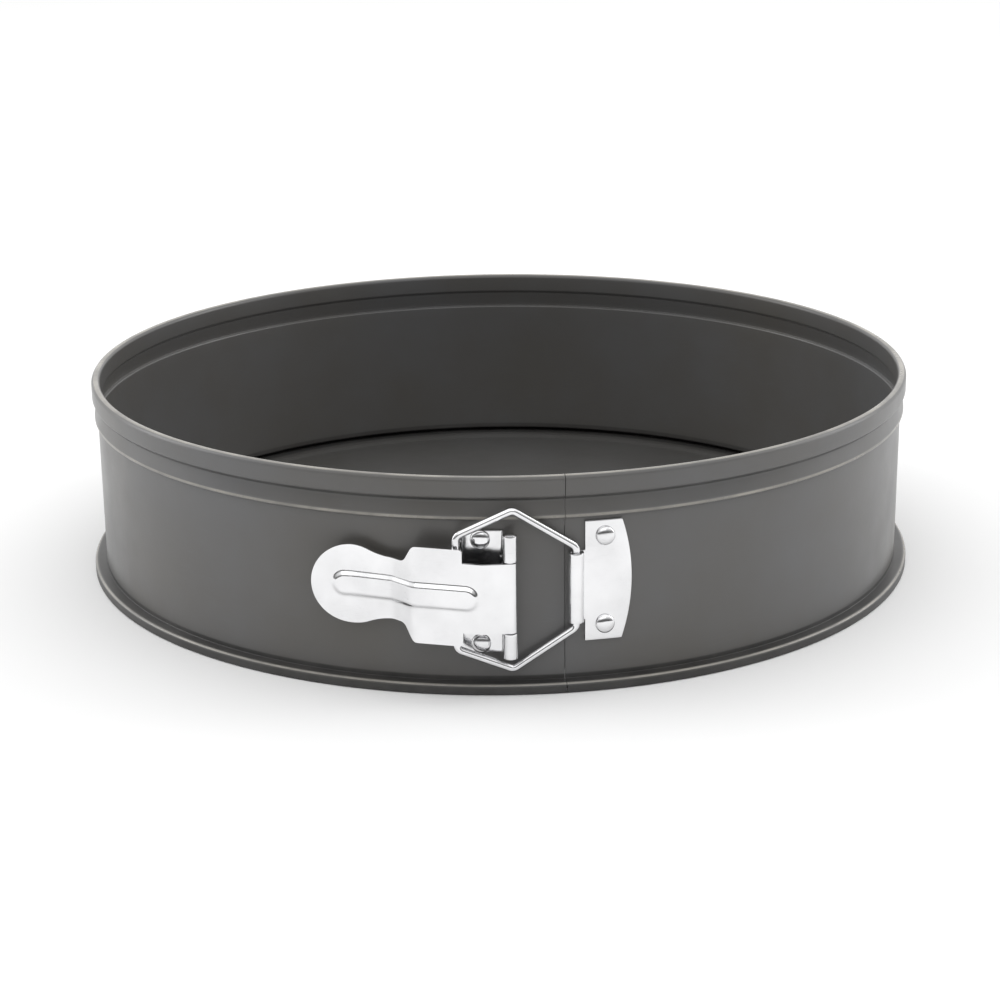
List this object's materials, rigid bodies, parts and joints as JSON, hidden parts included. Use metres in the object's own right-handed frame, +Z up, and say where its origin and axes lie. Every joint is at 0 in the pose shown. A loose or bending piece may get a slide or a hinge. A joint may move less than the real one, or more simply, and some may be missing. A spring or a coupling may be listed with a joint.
{
  "type": "springform pan",
  "caption": "Round baking pan: a springy steel band with a rolled rim and a wire toggle latch closes round a loose flat base.",
  "frame": {"origin": "centre of the base's flat underside, on the surface the pan stands on", "axes": "+Z up along the pan's axis, -Y towards the latch, +X to the right when facing the latch"},
  "size_m": [0.2882, 0.2937, 0.068],
  "materials": {
    "band_coating": "satin dark grey non-stick coating",
    "base_coating": "satin dark grey non-stick coating",
    "latch_plating": "bright nickel-chrome plate on pressed steel"
  },
  "bodies": {
    "base": {"base_disc": "base_coating"},
    "ring_left": {"band_left": "band_coating", "hinge_bracket": "latch_plating", "hinge_pin": "latch_plating", "bracket_rivet_upper": "latch_plating", "bracket_rivet_lower": "latch_plating"},
    "ring_right": {"band_right": "band_coating", "keeper_plate": "latch_plating", "keeper_rivet_upper": "latch_plating", "keeper_rivet_lower": "latch_plating"},
    "lever": {"latch_lever": "latch_plating"},
    "bail": {"bail_wire": "latch_plating"}
  },
  "joints": [
    {"name": "ring_lift", "type": "slide", "parent": "base", "child": "ring_left", "axis": [0, 0, 1], "range_m": [0, 0.09]},
    {"name": "lever_hinge", "type": "hinge", "parent": "ring_left", "child": "lever", "pos_m": [0.00275, -0.14577, 0.0322], "axis": [0, 0, 1], "range_deg": [0, 100]},
    {"name": "band_spring", "type": "hinge", "parent": "ring_left", "child": "ring_right", "pos_m": [0, 0.14415, 0.034], "axis": [0, 0, 1], "range_deg": [0, 2.15]},
    {"name": "bail_swing", "type": "hinge", "parent": "ring_right", "child": "bail", "pos_m": [0.02241, -0.14067, 0.0333], "axis": [0, 0, 1], "range_deg": [0, 28.95]}
  ],
  "couplings": [
    {"joint": "band_spring", "follows": "lever_hinge", "ratio": 0.021489},
    {"joint": "bail_swing", "follows": "lever_hinge", "ratio": 0.28945}
  ]
}
